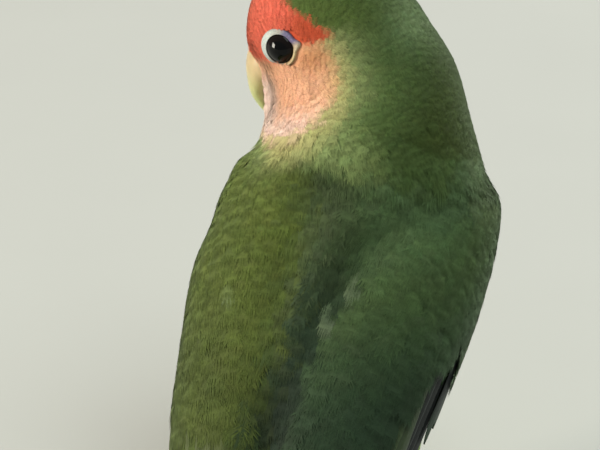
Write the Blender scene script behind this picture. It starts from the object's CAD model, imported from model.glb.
"""Peach faced lovebird: skin, feathers, bill, eyes and feet over the fixed frame.

One skin lies inside the flesh of the solids, by the depth of the coat. Small feathers are
scattered over it and follow its lie from the bill to the tail. The large feathers of wings
and tail are vanes laid in rows. Everything is in metres, +Z up, and the body faces +Y.
"""

import functools
import math

import bmesh
import bpy
import numpy as np
from bpy.props import FloatProperty, FloatVectorProperty, IntProperty, PointerProperty
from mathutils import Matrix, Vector
from mathutils.bvhtree import BVHTree
from mathutils.kdtree import KDTree


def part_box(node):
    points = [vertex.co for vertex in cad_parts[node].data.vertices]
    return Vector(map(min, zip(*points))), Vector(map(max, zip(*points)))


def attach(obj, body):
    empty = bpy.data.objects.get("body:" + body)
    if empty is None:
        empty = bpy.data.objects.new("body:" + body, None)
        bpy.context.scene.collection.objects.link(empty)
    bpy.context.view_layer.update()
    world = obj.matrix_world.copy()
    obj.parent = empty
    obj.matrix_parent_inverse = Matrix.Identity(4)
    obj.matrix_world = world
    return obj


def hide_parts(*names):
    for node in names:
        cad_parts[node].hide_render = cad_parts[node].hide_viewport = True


bl_info = {
    "name": "Peach faced lovebird",
    "version": (1, 0, 0),
    "blender": (4, 5, 0),
    "location": "3D View > Sidebar > Lovebird",
    "description": "Skin, feathers, bill, eyes and feet of a life-size lovebird",
    "category": "Object",
}

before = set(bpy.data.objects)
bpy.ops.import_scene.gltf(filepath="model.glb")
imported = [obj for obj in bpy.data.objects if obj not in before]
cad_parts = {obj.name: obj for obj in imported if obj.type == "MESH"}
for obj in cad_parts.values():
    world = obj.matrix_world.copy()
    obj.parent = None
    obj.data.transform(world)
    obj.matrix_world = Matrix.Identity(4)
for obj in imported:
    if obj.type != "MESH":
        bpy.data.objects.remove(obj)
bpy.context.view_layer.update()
MM = 0.001

SIDES = {"left": -1, "right": 1}
PLUMED = ("head", "neck", "trunk", "tail", "thigh_left", "thigh_right", "wing_left", "wing_right")
BARE = ("bill_upper", "bill_lower", "eye_left", "eye_right")

# Body sections, as in the solids: x, y, z, turn, lean, half width, front and back
SPINE = np.array([
    (0.0000, -0.0300, 0.0220, 0, 0, 0.0135, 0.0120, 0.0085),
    (0.0000, -0.0190, 0.0300, 0, 0, 0.0198, 0.0195, 0.0125),
    (0.0000, -0.0060, 0.0410, 2, 0, 0.0238, 0.0245, 0.0170),
    (0.0006, 0.0060, 0.0530, 8, 0, 0.0256, 0.0262, 0.0195),
    (0.0031, 0.0135, 0.0640, 13, 0, 0.0243, 0.0258, 0.0205),
    (0.0044, 0.0175, 0.0740, 24, 3, 0.0225, 0.0250, 0.0206),
    (0.0022, 0.0200, 0.0825, 52, 9, 0.0200, 0.0236, 0.0218),
    (-0.0008, 0.0218, 0.0905, 80, 16, 0.0165, 0.0158, 0.0210),
    (-0.0048, 0.0225, 0.0980, 94, 21, 0.0145, 0.0152, 0.0184),
])
WING_LINE = np.vstack([[
    (0.0, -0.0600, 0.0074, 0, 0, 0.0055, 0.0040, 0.0026),
    (0.0, -0.0460, 0.0124, 0, 0, 0.0105, 0.0080, 0.0042),
    (0.0, -0.0320, 0.0206, 0, 0, 0.0160, 0.0125, 0.0096),
    (0.0, -0.0190, 0.0300, 0, 0, 0.0212, 0.0195, 0.0135),
], SPINE[2:7]])
WING_INNER = (5.0, 6.0, 7.0, 9.0, 12.0, 17.0, 26.0, 36.0, 44.0)
WING_OUTER = (60.0, 78.0, 94.0, 104.0, 112.0, 116.0, 116.0, 110.0, 100.0)
WING_BENDS = {-1: 7.40, 1: 6.90}
WING_CLEAR = 0.9 * MM
WING_THICKNESS = 2.1 * MM
WING_EDGE = 0.6 * MM

# The head's own axes, and the eyes' place in them
HEAD_YAW = math.radians(94.0)
HEAD_PITCH = math.radians(20.0)
EYE_PLACE = (6.6 * MM, 5.2 * MM)


def unit(vectors):
    """Vectors at length one."""
    return vectors / np.maximum(np.linalg.norm(vectors, axis=-1, keepdims=True), 1e-12)


def middle_of(node):
    """The middle of a node's box."""
    low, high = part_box(node)
    return np.array((low + high) / 2)


HEAD_AHEAD = np.array((
    -math.sin(HEAD_YAW) * math.cos(HEAD_PITCH),
    math.cos(HEAD_YAW) * math.cos(HEAD_PITCH),
    -math.sin(HEAD_PITCH),
))
HEAD_RIGHT = np.array((math.cos(HEAD_YAW), math.sin(HEAD_YAW), 0.0))
HEAD_UP = np.cross(HEAD_RIGHT, HEAD_AHEAD)
EYES = {side: middle_of("eye_" + side) for side in SIDES}
BROW = (EYES["left"] + EYES["right"]) / 2
HEAD = BROW - EYE_PLACE[0] * HEAD_AHEAD - EYE_PLACE[1] * HEAD_UP
ORIGIN = HEAD - SPINE[-1][:3]
TAIL_POINT = np.array((0.0, -0.0950, -0.0150)) + ORIGIN


def head_frame(points):
    """Places in millimetres ahead of, to the right of and above the middle of the eyes."""
    away = (np.asarray(points) - BROW) / MM
    return away @ HEAD_AHEAD, away @ HEAD_RIGHT, away @ HEAD_UP


def head_place(ahead, right, up):
    """A place in the head's frame, in metres from the head's middle, as a place in the scene."""
    ahead, right, up = (np.asarray(value, float)[..., None] for value in (ahead, right, up))
    return HEAD + ahead * HEAD_AHEAD + right * HEAD_RIGHT + up * HEAD_UP


def ease(low, high, value):
    """Zero below low, one above high and smooth between."""
    part = np.clip((np.asarray(value, float) - low) / (high - low), 0.0, 1.0)
    return part * part * (3.0 - 2.0 * part)


def linear(text):
    """An sRGB hex colour as linear red, green and blue."""
    values = np.array([int(text[k:k + 2], 16) for k in (1, 3, 5)]) / 255.0
    return np.where(values <= 0.04045, values / 12.92, ((values + 0.055) / 1.055) ** 2.4)


def colour_property(name, text):
    """A colour that a user can change."""
    return FloatVectorProperty(name=name, description=name + " colour", subtype="COLOR", size=3,
                               min=0.0, max=1.0, default=tuple(linear(text)))


def length_property(name, value, about):
    """A length that a user can change."""
    return FloatProperty(name=name, description=about, default=value, min=0.0, unit="LENGTH")


RING_GREY = "#a4ada9"


class LovebirdColours(bpy.types.PropertyGroup):
    """Colours of the plumage and the bare parts."""

    forehead: colour_property("Forehead", "#cf5c47")
    brow: colour_property("Behind the eye", "#b04426")
    cheek: colour_property("Cheek", "#d9a281")
    ear: colour_property("Ear patch", "#b4774a")
    throat: colour_property("Throat", "#d7bbb0")
    crown: colour_property("Crown", "#455621")
    nape: colour_property("Nape", "#455829")
    collar: colour_property("Collar", "#8a9a60")
    mantle: colour_property("Mantle", "#324022")
    back: colour_property("Lower back", "#1c2e1d")
    wing: colour_property("Wing coverts", "#42542b")
    shoulder: colour_property("Left wing and shoulder", "#4c581e")
    bend: colour_property("Wing bend", "#6f7d52")
    breast: colour_property("Breast and belly", "#86a04f")
    rump: colour_property("Rump", "#2767a6")
    quill: colour_property("Secondaries", "#2d4329")
    primary: colour_property("Primaries", "#141713")
    tail: colour_property("Tail", "#35592a")
    tail_bar: colour_property("Tail bar", "#d5602c")
    ring: colour_property("Eye ring", RING_GREY)
    bill: colour_property("Bill", "#b09a74")
    bill_edge: colour_property("Bill tip", "#a3aa70")
    foot: colour_property("Foot", "#8f8a85")
    claw: colour_property("Claw", "#3b3632")
    cool: colour_property("Right shoulder", "#4f673e")
    crown_light: colour_property("Light patch on the crown", "#708255")
    neck_side: colour_property("Side of the neck", "#7f8a56")
    cheek_side: colour_property("Behind the cheek", "#a59d66")
    cheek_rear: colour_property("Rear of the cheek", "#b7985e")
    lore: colour_property("Lore and cheek spot", "#8d5c3c")
    worn: colour_property("Worn feathers", "#7c8969")
    tail_dark: colour_property("Dark tail bar", "#16150f")
    cutting_edge: colour_property("Cutting edge of the bill", "#a19a66")
    nostril: colour_property("Nostril", "#b9806c")
    nostril_hole: colour_property("Hole of the nostril", "#3a2c26")
    floor: colour_property("Floor", "#b9b6b0")


class LovebirdCoat(bpy.types.PropertyGroup):
    """Lengths, gaps and depths of the small feathers."""

    face_length: length_property("Face feather", 1.7 * MM, "Length of the feathers round bill and eyes")
    nape_length: length_property("Nape feather", 3.8 * MM, "Length of the feathers behind the crown")
    neck_length: length_property("Neck feather", 5.2 * MM, "Length of the neck feathers")
    body_length: length_property("Body feather", 7.4 * MM, "Length of the body feathers")
    wing_length: length_property("Covert", 6.4 * MM, "Length of the small wing coverts")
    head_depth: length_property("Head depth", 0.6 * MM, "Depth of the coat on the head")
    neck_depth: length_property("Neck depth", 1.4 * MM, "Depth of the coat on the neck")
    body_depth: length_property("Body depth", 1.6 * MM, "Depth of the coat on the body")
    seed: IntProperty(name="Seed", description="Start of the random draws", default=11, min=0)


class LovebirdStage(bpy.types.PropertyGroup):
    """Camera and lights."""

    azimuth: FloatProperty(name="Azimuth", description="Way the camera stands, seen from above",
                           subtype="ANGLE", default=math.radians(19.54))
    elevation: FloatProperty(name="Elevation", description="Height angle of the camera",
                             subtype="ANGLE", default=math.radians(24.35))
    distance: length_property("Distance", 0.32, "From the camera to the point it looks at")
    view_angle: FloatProperty(name="View angle", description="Horizontal angle of view",
                              subtype="ANGLE", default=math.radians(20.23))
    key_power: FloatProperty(name="Key light", description="Power of the main light in watts",
                             default=75.0, min=0.0)


CAMERA_AIM = (-6.4 * MM, 21.2 * MM, 68.4 * MM)


def colours():
    """The colours in use, as arrays."""
    group = bpy.context.scene.lovebird_colours
    return {key: np.array(getattr(group, key)) for key in LovebirdColours.__annotations__}


# Materials


def add(tree, kind, links=None, **settings):
    """Add a node: settings are its properties, and links fill its inputs by name or number."""
    made = tree.nodes.new("ShaderNode" + kind)
    for key, value in settings.items():
        setattr(made, key, value)
    for key, value in (links or {}).items():
        if isinstance(value, bpy.types.NodeSocket):
            tree.links.new(value, made.inputs[key])
        else:
            made.inputs[key].default_value = value
    return made


def material(name, build):
    """The material of that name, built once by its function."""
    found = bpy.data.materials.get(name)
    if found:
        return found
    made = bpy.data.materials.new(name)
    made.use_nodes = True
    build(made.node_tree, made.node_tree.nodes["Principled BSDF"])
    return made


def set_shader(shader, **values):
    """Constants on the shader's own sockets, with underscores for spaces."""
    for key, value in values.items():
        shader.inputs[key.replace("_", " ")].default_value = value


def mapped(tree, scale_mm):
    """Object coordinates in which one unit is a real size in millimetres."""
    place = add(tree, "TexCoord").outputs["Object"]
    size = 1.0 / (scale_mm * MM)
    return add(tree, "Mapping", {"Vector": place, "Scale": (size, size, size)}).outputs["Vector"]


def shaded(tree, colour, factor, low, high):
    """A colour times a brightness that runs from low to high with a factor."""
    level = add(tree, "MapRange", {"Value": factor, "To Min": low, "To Max": high}).outputs["Result"]
    grey = add(tree, "CombineColor", {"Red": level, "Green": level, "Blue": level}).outputs["Color"]
    # Sockets by number: the factor, both colours and the result share names with others of a Mix
    return add(tree, "Mix", {0: 1.0, 6: colour, 7: grey}, data_type="RGBA", blend_type="MULTIPLY").outputs[2]


def cover(tree, shader, tone, height, strength, depth_mm, invert=False):
    """Link a colour to the shader, and a height from 0 to 1 as its bump, depth_mm deep."""
    tree.links.new(tone, shader.inputs["Base Color"])
    links = {"Height": height, "Strength": strength, "Distance": depth_mm * MM}
    tree.links.new(add(tree, "Bump", links, invert=invert).outputs["Normal"], shader.inputs["Normal"])


def barbs(tree, pitch_mm, slant):
    """Fine stripes that run from the shaft to the margin of each feather, 0 to 1."""
    parts = add(tree, "SeparateXYZ", {0: add(tree, "Attribute", attribute_name="vane").outputs["Vector"]})
    out = add(tree, "Math", {0: parts.outputs["X"]}, operation="ABSOLUTE").outputs[0]
    back = add(tree, "Math", {0: out, 1: -slant, 2: parts.outputs["Y"]}, operation="MULTIPLY_ADD").outputs[0]
    turn = add(tree, "Math", {0: back, 1: 2 * math.pi / pitch_mm}, operation="MULTIPLY").outputs[0]
    wave = add(tree, "Math", {0: turn}, operation="SINE").outputs[0]
    return add(tree, "MapRange", {"Value": wave, "From Min": -1.0}).outputs["Result"]


def feather_keratin(tree, shader, noises, pitch_mm, slant, groove_mm):
    """Colour and bump that all feathers share: uneven tones under fine stripes along the barbs.

    Each of the noises has a scale in millimetres, settings, and the least and most brightness.
    """
    tone = add(tree, "Attribute", attribute_name="plumage").outputs["Color"]
    for scale_mm, settings, low, high in noises:
        noise = add(tree, "TexNoise", {"Vector": mapped(tree, scale_mm), "Scale": 1.0, **settings})
        tone = shaded(tree, tone, noise.outputs["Fac"], low, high)
    stripes = barbs(tree, pitch_mm, slant)
    cover(tree, shader, shaded(tree, tone, stripes, 0.93, 1.06), stripes, 0.25, groove_mm)


def soft_feather(tree, shader):
    """Contour feather, keratin barbs too loose to shine: matte, with a velvet edge and fine stripes."""
    patches = (2.2, {"Detail": 4.0, "Roughness": 0.62}, 0.80, 1.22)
    grain = (0.32, {"Detail": 2.0}, 0.82, 1.18)
    # Barbs are 0.05 mm apart in life, and are drawn 0.3 mm apart so that they show
    feather_keratin(tree, shader, (patches, grain), 0.3, 0.75, 0.06)
    set_shader(shader, Roughness=0.78, Specular_IOR_Level=0.22, Sheen_Weight=0.22, Sheen_Roughness=0.45,
               Sheen_Tint=(0.70, 0.90, 0.55, 1.0))


def stiff_feather(tree, shader):
    """Flight feather, zipped keratin barbs: satin, with close stripes on both webs."""
    patches = (3.0, {"Detail": 3.0}, 0.86, 1.14)
    grain = (0.4, {"Detail": 2.0}, 0.90, 1.10)
    # Barbs are 0.1 mm apart in life, and are drawn 0.35 mm apart so that they show
    feather_keratin(tree, shader, (patches, grain), 0.35, 0.9, 0.08)
    set_shader(shader, Roughness=0.62, Specular_IOR_Level=0.28, Sheen_Weight=0.05, Sheen_Roughness=0.5)


def downy_skin(tree, shader):
    """Skin under the coat, with down of the coat's colours: matte and a little uneven in tone."""
    colour = add(tree, "Attribute", attribute_name="plumage").outputs["Color"]
    grain = add(tree, "TexNoise", {"Vector": mapped(tree, 0.5), "Scale": 1.0, "Detail": 3.0}).outputs["Fac"]
    cover(tree, shader, shaded(tree, colour, grain, 0.80, 1.15), grain, 0.6, 0.2)
    set_shader(shader, Roughness=0.9, Specular_IOR_Level=0.15)


def scaly_skin(tree, shader):
    """Foot skin, dry keratin scales: grey and matte, with pale scale edges and dark creases."""
    colour = add(tree, "Attribute", attribute_name="plumage").outputs["Color"]
    # Granular scales about 0.6 mm across
    cells = add(tree, "TexVoronoi", {"Vector": mapped(tree, 0.6), "Scale": 1.0}, feature="DISTANCE_TO_EDGE")
    crease = add(tree, "MapRange", {"Value": cells.outputs["Distance"], "From Max": 0.16}).outputs["Result"]
    dust = add(tree, "TexNoise", {"Vector": mapped(tree, 1.4), "Scale": 1.0, "Detail": 4.0}).outputs["Fac"]
    tone = shaded(tree, colour, crease, 0.55, 1.08)
    cover(tree, shader, shaded(tree, tone, dust, 0.8, 1.2), crease, 0.7, 0.12)
    set_shader(shader, Roughness=0.62, Specular_IOR_Level=0.4)


def eye_ring_skin(tree, shader):
    """Bare skin of the eye ring: soft pale skin with fine grains, a little waxy."""
    colour = add(tree, "Attribute", attribute_name="plumage").outputs["Color"]
    # Grains about 0.28 mm across
    grains = add(tree, "TexVoronoi", {"Vector": mapped(tree, 0.28), "Scale": 1.0}).outputs["Distance"]
    cover(tree, shader, shaded(tree, colour, grains, 1.08, 0.76), grains, 0.6, 0.1, invert=True)
    set_shader(shader, Roughness=0.5, Specular_IOR_Level=0.4, Subsurface_Weight=0.15,
               Subsurface_Radius=(0.6 * MM, 0.3 * MM, 0.2 * MM))


# Angle from the front of the eye in radians, and the colour there: pupil, iris and rim
EYE_STOPS = ((0.0, "#040404"), (0.50, "#050505"), (0.58, "#0f0a08"), (0.84, "#130c09"), (0.95, "#0a0807"))


def wet_eye(tree, shader):
    """Eyeball under a clear wet cornea: black pupil, dark brown iris, mirror-like coat."""
    place = add(tree, "Attribute", attribute_name="iris").outputs["Fac"]
    ramp = add(tree, "ValToRGB", {"Fac": place})
    ramp.color_ramp.elements.remove(ramp.color_ramp.elements[1])
    ramp.color_ramp.elements[0].color = (*linear(EYE_STOPS[0][1]), 1.0)
    for where, text in EYE_STOPS[1:]:
        ramp.color_ramp.elements.new(where).color = (*linear(text), 1.0)
    rays = add(tree, "TexNoise", {"Vector": mapped(tree, 0.4), "Scale": 1.0, "Detail": 3.0}).outputs["Fac"]
    tree.links.new(shaded(tree, ramp.outputs["Color"], rays, 0.7, 1.3), shader.inputs["Base Color"])
    set_shader(shader, Roughness=0.3, Specular_IOR_Level=0.0, Coat_Weight=0.8, Coat_IOR=1.30,
               Coat_Roughness=0.02)


def bill_horn(tree, shader):
    """Bill, layered keratin: satin, cream at the root and greenish at the tip, with growth lines."""
    colour = add(tree, "Attribute", attribute_name="plumage").outputs["Color"]
    along = add(tree, "Attribute", attribute_name="along").outputs["Fac"]
    flakes = add(tree, "TexNoise", {"Vector": mapped(tree, 1.3), "Scale": 1.0, "Detail": 5.0}).outputs["Fac"]
    # Growth lines about 0.45 mm apart
    line = add(tree, "Math", {0: along, 1: 2 * math.pi / 0.45}, operation="MULTIPLY").outputs[0]
    wobble = add(tree, "Math", {0: flakes, 1: 7.0, 2: line}, operation="MULTIPLY_ADD").outputs[0]
    growth = add(tree, "Math", {0: wobble}, operation="SINE").outputs[0]
    level = add(tree, "MapRange", {"Value": growth, "From Min": -1.0}).outputs["Result"]
    tone = shaded(tree, colour, flakes, 0.82, 1.16)
    cover(tree, shader, shaded(tree, tone, level, 0.97, 1.02), level, 0.10, 0.05)
    set_shader(shader, Roughness=0.38, Specular_IOR_Level=0.45, Subsurface_Weight=0.2,
               Subsurface_Radius=(1.2 * MM, 0.8 * MM, 0.4 * MM), Coat_Weight=0.1, Coat_Roughness=0.3)


def claw_horn(tree, shader):
    """Claw, dense keratin: dark grey and satin, paler at the root."""
    tone = (*colours()["claw"], 1.0)
    streaks = add(tree, "TexNoise",
                  {"Vector": mapped(tree, 0.8), "Scale": 1.0, "Detail": 3.0}).outputs["Fac"]
    tree.links.new(shaded(tree, tone, streaks, 0.6, 1.5), shader.inputs["Base Color"])
    set_shader(shader, Roughness=0.35, Specular_IOR_Level=0.45)


def pale_floor(tree, shader):
    """Painted board under the bird: pale, matte, with the faintest unevenness."""
    cloud = add(tree, "TexNoise", {"Vector": mapped(tree, 60.0), "Scale": 1.0, "Detail": 2.0}).outputs["Fac"]
    tree.links.new(shaded(tree, (*colours()["floor"], 1.0), cloud, 0.98, 1.02), shader.inputs["Base Color"])
    set_shader(shader, Roughness=0.9, Specular_IOR_Level=0.1)


# Meshes from arrays


def place_piece(name, mesh):
    """A piece that rides on the bird's body and takes the finish of a slot."""
    made = bpy.data.objects.new(name, mesh)
    bpy.context.scene.collection.objects.link(made)
    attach(made, "root")
    return made


ATTRIBUTE_KINDS = {1: ("FLOAT", "value"), 3: ("FLOAT_VECTOR", "vector"), 4: ("FLOAT_COLOR", "color")}


def set_attributes(mesh, attributes):
    """Attributes at the points, from arrays of numbers, of vectors or of colours."""
    for key, values in attributes.items():
        values = np.asarray(values, np.float32)
        kind, field = ATTRIBUTE_KINDS[values.shape[1] if values.ndim > 1 else 1]
        mesh.attributes.new(key, kind, "POINT").data.foreach_set(field, values.ravel())


def mesh_object(name, points, faces, materials, slot, uv, normals=None, picks=None, **attributes):
    """A piece from arrays. picks holds the number of each face's material."""
    faces = np.asarray(faces)
    mesh = bpy.data.meshes.new(name)
    mesh.vertices.add(len(points))
    mesh.vertices.foreach_set("co", np.asarray(points, np.float32).ravel())
    mesh.loops.add(faces.size)
    mesh.loops.foreach_set("vertex_index", faces.ravel().astype(np.int32))
    mesh.polygons.add(len(faces))
    mesh.polygons.foreach_set("loop_start", np.arange(0, faces.size, faces.shape[1], dtype=np.int32))
    mesh.polygons.foreach_set("use_smooth", np.ones(len(faces), bool))
    for surface in materials:
        mesh.materials.append(surface)
    if picks is not None:
        mesh.polygons.foreach_set("material_index", picks.astype(np.int32))
    mesh.update(calc_edges=True)
    layer = mesh.uv_layers.new(name="OFBake")
    layer.data.foreach_set("uv", np.asarray(uv, np.float32)[faces.ravel()].ravel())
    set_attributes(mesh, attributes)
    if normals is not None:
        mesh.normals_split_custom_set_from_vertices(unit(normals))
    return place_piece(name, mesh)


def with_alpha(rgb):
    """Colours with a fourth channel of one."""
    return np.concatenate([rgb, np.ones(rgb.shape[:-1] + (1,))], axis=-1)


def grid_faces(rows, columns, closed=False):
    """Quads between neighbouring rows of a grid, closed round each row if asked."""
    across = np.arange(columns if closed else columns - 1)
    a = (np.arange(rows - 1)[:, None] * columns + across).ravel()
    b = (np.arange(rows - 1)[:, None] * columns + (across + 1) % columns).ravel()
    return np.stack([a, b, b + columns, a + columns], axis=1)


def closed_piece(name, points, faces, surface, slot, **attributes):
    """A closed piece with all its faces pointing out."""
    mesh = bpy.data.meshes.new(name)
    mesh.from_pydata(points.tolist(), [], faces)
    set_attributes(mesh, attributes)
    grid = bmesh.new()
    grid.from_mesh(mesh)
    bmesh.ops.recalc_face_normals(grid, faces=grid.faces)
    grid.to_mesh(mesh)
    grid.free()
    mesh.shade_smooth()
    mesh.materials.append(surface)
    return place_piece(name, mesh)


def tube_piece(name, rows, surface, slot, **attributes):
    """A closed piece from rings of points, with a cap at each end."""
    count, columns = rows.shape[:2]
    faces = grid_faces(count, columns, closed=True).tolist()
    faces += [list(range(columns)), list(range((count - 1) * columns, count * columns))]
    return closed_piece(name, rows.reshape(-1, 3), faces, surface, slot, **attributes)


# The body's form, from the solids


def node_shape(node, grow=0.0, cut=None):
    """Points and faces of a node, grown outward, without what lies behind a cut.

    cut is the plane's Y on the body's middle, and how far it runs forward with X.
    """
    grid = bmesh.new()
    grid.from_mesh(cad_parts[node].data)
    bmesh.ops.remove_doubles(grid, verts=grid.verts, dist=1e-6)
    if cut:
        parts = list(grid.verts) + list(grid.edges) + list(grid.faces)
        made = bmesh.ops.bisect_plane(grid, geom=parts, plane_co=(0, cut[0], 0), plane_no=(cut[1], -1, 0),
                                      clear_outer=True)
        edges = [item for item in made["geom_cut"] if isinstance(item, bmesh.types.BMEdge)]
        bmesh.ops.holes_fill(grid, edges=edges)
    grid.normal_update()
    grid.verts.index_update()
    points = np.array([vertex.co + vertex.normal * grow for vertex in grid.verts])
    faces = [[vertex.index for vertex in face.verts] for face in grid.faces]
    grid.free()
    return points, faces


def fused(shapes, voxel):
    """One closed surface of quads round several shapes, without the hollows inside it."""
    points, faces = [], []
    for shape_points, shape_faces in shapes:
        base = sum(map(len, points))
        points.append(shape_points)
        faces += [[base + index for index in face] for face in shape_faces]
    mesh = bpy.data.meshes.new("fused")
    mesh.from_pydata(np.vstack(points).tolist(), [], faces)
    holder = bpy.data.objects.new("fused", mesh)
    bpy.context.scene.collection.objects.link(holder)
    step = holder.modifiers.new("fuse", "REMESH")
    step.mode = "VOXEL"
    step.voxel_size = voxel
    result = holder.evaluated_get(bpy.context.evaluated_depsgraph_get()).to_mesh()
    made = np.empty(len(result.vertices) * 3, np.float32)
    result.vertices.foreach_get("co", made)
    quads = np.array([face.vertices[:] for face in result.polygons if len(face.vertices) == 4])
    bpy.data.objects.remove(holder)
    bpy.data.meshes.remove(mesh)
    return outer_shell(made.reshape(-1, 3).astype(float), quads)


def outer_shell(points, quads):
    """The largest connected surface."""
    label = np.arange(len(points))
    while True:
        low = label[quads].min(axis=1)
        fresh = label.copy()
        np.minimum.at(fresh, quads.ravel(), np.repeat(low, 4))
        fresh = fresh[fresh]
        if np.array_equal(fresh, label):
            break
        label = fresh
    names, counts = np.unique(label, return_counts=True)
    keep = label == names[counts.argmax()]
    number = np.cumsum(keep) - 1
    return points[keep], number[quads[keep[quads[:, 0]]]]


def relaxed(points, quads, rounds, strength):
    """Rows, one for each point, moved towards the average of their neighbours by a strength."""
    a = quads.ravel()
    b = np.roll(quads, -1, axis=1).ravel()
    ends, others = np.concatenate([a, b]), np.concatenate([b, a])
    count = np.bincount(ends, minlength=len(points))[:, None]
    for _ in range(rounds):
        total = [np.bincount(ends, column[others], len(points)) for column in points.T]
        points = points + (np.stack(total, axis=1) / count - points) * strength
    return points


def normals_of(points, quads):
    """Smooth normals at the points."""
    corners = points[quads]
    face = np.cross(corners[:, 2] - corners[:, 0], corners[:, 3] - corners[:, 1])
    total = np.stack([np.bincount(quads.ravel(), np.repeat(face[:, k], 4), len(points)) for k in range(3)],
                     axis=1)
    return unit(total)


def nearest_node(points, nodes):
    """The number, in nodes, of the solid that lies nearest to each point."""
    best = np.full(len(points), np.inf)
    pick = np.zeros(len(points), int)
    for number, node in enumerate(nodes):
        low, high = (np.array(corner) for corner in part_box(node))
        gap = np.linalg.norm(np.maximum(0, np.maximum(low - points, points - high)), axis=1)
        corners, faces = node_shape(node)
        tree = BVHTree.FromPolygons(corners.tolist(), faces)
        for index in np.flatnonzero(gap < best):
            found = tree.find_nearest(points[index])
            if found[3] < best[index]:
                best[index] = found[3]
                pick[index] = number
    return pick


class Form:
    """A smooth closed surface, on which feathers find their place and lie."""

    def __init__(self, points, quads):
        self.points, self.quads = points, quads
        self.normals = normals_of(points, quads)
        self.tree = BVHTree.FromPolygons(points.tolist(), quads.tolist())

    def nearest(self, places):
        """The nearest places on the surface, their normals and the nearest points' numbers."""
        found = [self.tree.find_nearest(place) for place in places]
        spots = np.array([item[0] for item in found])
        corners = self.quads[[item[2] for item in found]]
        away = np.linalg.norm(self.points[corners] - spots[:, None], axis=2)
        weight = 1.0 / (away + 0.05 * MM)
        normals = unit((self.normals[corners] * weight[..., None]).sum(axis=1))
        return spots, normals, corners[np.arange(len(spots)), away.argmin(axis=1)]


# The solids are grown before they are fused, so that thin edges last, and then shrunk again
ENVELOPE_GROW = 0.5 * MM
ENVELOPE_VOXEL = 0.9 * MM
# Rounds of smoothing where feathers hide the joints of the solids, and of the nodes' shares
SOFT_ROUNDS = 22
SHARE_ROUNDS = 14
SKIN_VOXEL = 0.62 * MM
FOOT_GROW = 0.2 * MM
FEET = ("foot_left", "foot_right")
# Loose feathers that stand fuller than the solids: place, reach and height
PUFFS = (
    (np.array((-19.8, 28.8, 75.9)) * MM, 4.4 * MM, 1.9 * MM),
    (np.array((-22.8, 25.2, 70.4)) * MM, 5.0 * MM, 1.5 * MM),
    (BROW + 10.0 * MM * HEAD_AHEAD - 0.5 * MM * HEAD_UP, 4.0 * MM, 1.3 * MM),
)
# Corner of the mouth in millimetres ahead, to the side and up, with its reach and rounds of smoothing
GAPE_FILL = ((7.5, 6.2, -9.5), 5.0, 26)
# Where the skin ends in wings and tail: the plane's Y on the body's middle, and its run forward with X
REAR_CUT = {"wing_left": (-8 * MM, -0.9), "wing_right": (-8 * MM, 0.9), "tail": (-36 * MM, 0.0)}


@functools.cache
def envelope():
    """The outer form of the whole bird without its feet, and the node at each of its points."""
    shapes = [node_shape(node, ENVELOPE_GROW) for node in PLUMED + BARE]
    points, quads = fused(shapes, ENVELOPE_VOXEL)
    points = relaxed(points, quads, 5, 0.5)
    points = points - normals_of(points, quads) * ENVELOPE_GROW
    ahead, right, up = head_frame(points)
    soft = ease(15.0, 22.0, np.sqrt(ahead**2 + right**2 + up**2)) * ease(30.0, 42.0, points[:, 2] / MM)
    points = relaxed(points, quads, 3, 0.5)
    points = relaxed(points, quads, SOFT_ROUNDS, 0.5 * soft[:, None])
    (a, r, u), reach, rounds = GAPE_FILL
    gape = np.exp(-((ahead - a) ** 2 + (np.abs(right) - r) ** 2 + (up - u) ** 2) / reach**2)
    points = relaxed(points, quads, rounds, 0.5 * gape[:, None])
    puff = sum(height * np.exp(-(np.linalg.norm(points - middle, axis=1) / reach) ** 2)
               for middle, reach, height in PUFFS)
    form = Form(points + normals_of(points, quads) * puff[:, None], quads)
    # The node at each point, and softened shares of the nodes there
    form.node = nearest_node(form.points, PLUMED + BARE)
    form.shares = relaxed(np.eye(len(PLUMED + BARE))[form.node], quads, SHARE_ROUNDS, 0.5)
    return form


def sections(line, t):
    """Centre, right side, front and half sizes of the body's sections at places t on a line."""
    i = np.clip(np.floor(t).astype(int), 0, len(line) - 2)
    rows = np.vstack([2 * line[0] - line[1], line, 2 * line[-1] - line[-2]])
    before, a, b, after = (rows[i + k] for k in range(4))
    u = (t - i)[:, None]
    m0, m1 = (b - before) / 2, (after - a) / 2
    value = ((2 * u**3 - 3 * u**2 + 1) * a + (u**3 - 2 * u**2 + u) * m0
             + (3 * u**2 - 2 * u**3) * b + (u**3 - u**2) * m1)
    slope = (6 * u**2 - 6 * u) * (a - b) + (3 * u**2 - 4 * u + 1) * m0 + (3 * u**2 - 2 * u) * m1
    level = np.hypot(slope[:, 1], slope[:, 2])
    axis = unit(np.stack([-np.tan(np.radians(value[:, 4])) * level, slope[:, 1], slope[:, 2]], axis=1))
    right = unit(np.array((1.0, 0.0, 0.0)) - axis[:, :1] * axis)
    ahead = np.cross(axis, right)
    turn = np.radians(value[:, 3:4])
    return (value[:, :3] + ORIGIN, np.cos(turn) * right + np.sin(turn) * ahead,
            np.cos(turn) * ahead - np.sin(turn) * right, value[:, 5:8])


# Millimetres ahead and up from the eyes to the place in the bill from which the head's feathers spread
BILL_SOURCE = (13.0, -4.5)
# Ways of the feathers down the neck and down the thighs
DOWN_NECK = np.array((0.30, -0.15, -0.94))
DOWN_THIGH = unit(np.array((0.05, -0.35, -0.93)))


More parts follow.
